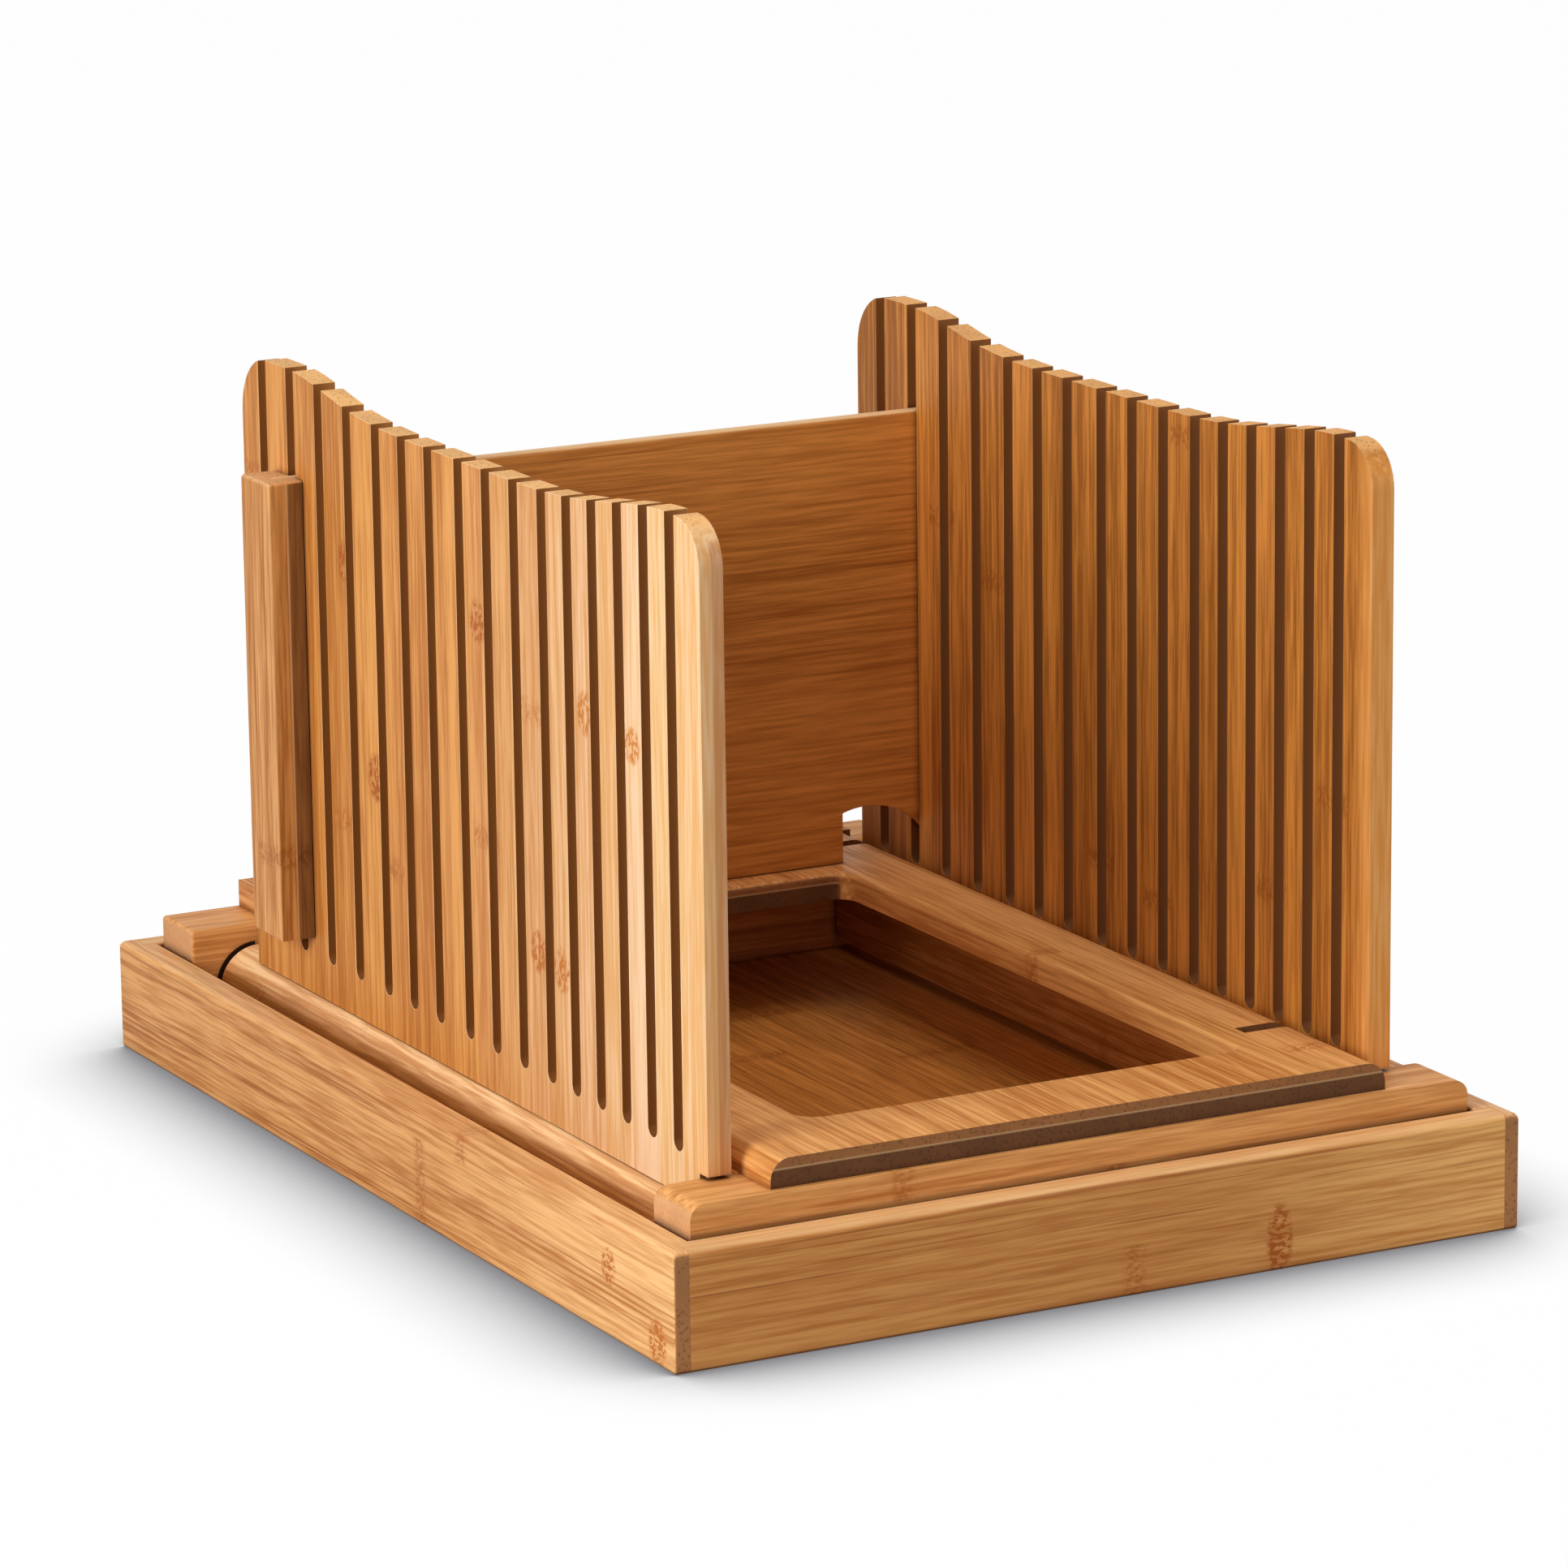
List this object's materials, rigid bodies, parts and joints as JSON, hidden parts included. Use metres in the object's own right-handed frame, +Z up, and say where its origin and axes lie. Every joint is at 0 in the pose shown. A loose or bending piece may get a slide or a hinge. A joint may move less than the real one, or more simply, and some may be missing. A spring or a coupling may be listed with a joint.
{
  "type": "bread slicer guide",
  "caption": "Folding wooden bread slicer guide: slotted side panels on a platform with a crumb opening, a lift-out stop board, and a tray it stands in.",
  "frame": {"origin": "on the surface it stands on, below the middle of the tray", "axes": "+X to the right, +Y to the back, where the stop board is, +Z up"},
  "size_m": [0.24, 0.34, 0.2014],
  "materials": {
    "bamboo_tray": "satin",
    "bamboo_base": "satin",
    "bamboo_panel": "satin",
    "bamboo_board": "satin",
    "bamboo_dowel": "matte",
    "steel": "brushed"
  },
  "bodies": {
    "tray": {"tray_front_wall": "bamboo_tray", "tray_rear_wall": "bamboo_tray", "tray_left_wall": "bamboo_tray", "tray_right_wall": "bamboo_tray", "tray_floor": "bamboo_tray", "tray_corner_dowels": "bamboo_dowel"},
    "slicer_base": {"front_cross_bar": "bamboo_base", "rear_cross_bar": "bamboo_base", "platform": "bamboo_base", "left_side_rail": "bamboo_base", "right_side_rail": "bamboo_base", "platform_dowels": "bamboo_dowel", "rail_dowels": "bamboo_dowel", "front_hinge_pins": "steel", "rear_hinge_pins": "steel"},
    "left_panel": {"left_side_panel": "bamboo_panel", "left_front_hinge_arm": "steel", "left_rear_hinge_arm": "steel", "left_arm_brads": "steel"},
    "right_panel": {"right_side_panel": "bamboo_panel", "right_front_hinge_arm": "steel", "right_rear_hinge_arm": "steel", "right_arm_brads": "steel"},
    "stop": {"stop_board": "bamboo_board", "left_end_strip": "bamboo_board", "right_end_strip": "bamboo_board"}
  },
  "joints": [
    {"name": "slicer_lift", "type": "slide", "parent": "tray", "child": "slicer_base", "axis": [0, 0, 1], "range_m": [0, 0.05]},
    {"name": "left_panel_fold", "type": "hinge", "parent": "slicer_base", "child": "left_panel", "pos_m": [-0.0814, 0, 0.0368], "axis": [0, 1, 0], "range_deg": [0, 90]},
    {"name": "right_panel_fold", "type": "hinge", "parent": "slicer_base", "child": "right_panel", "pos_m": [0.0744, 0, 0.0368], "axis": [0, -1, 0], "range_deg": [0, 90]},
    {"name": "stop_lift", "type": "slide", "parent": "slicer_base", "child": "stop", "axis": [0, 0, 1], "range_m": [0, 0.16]}
  ]
}
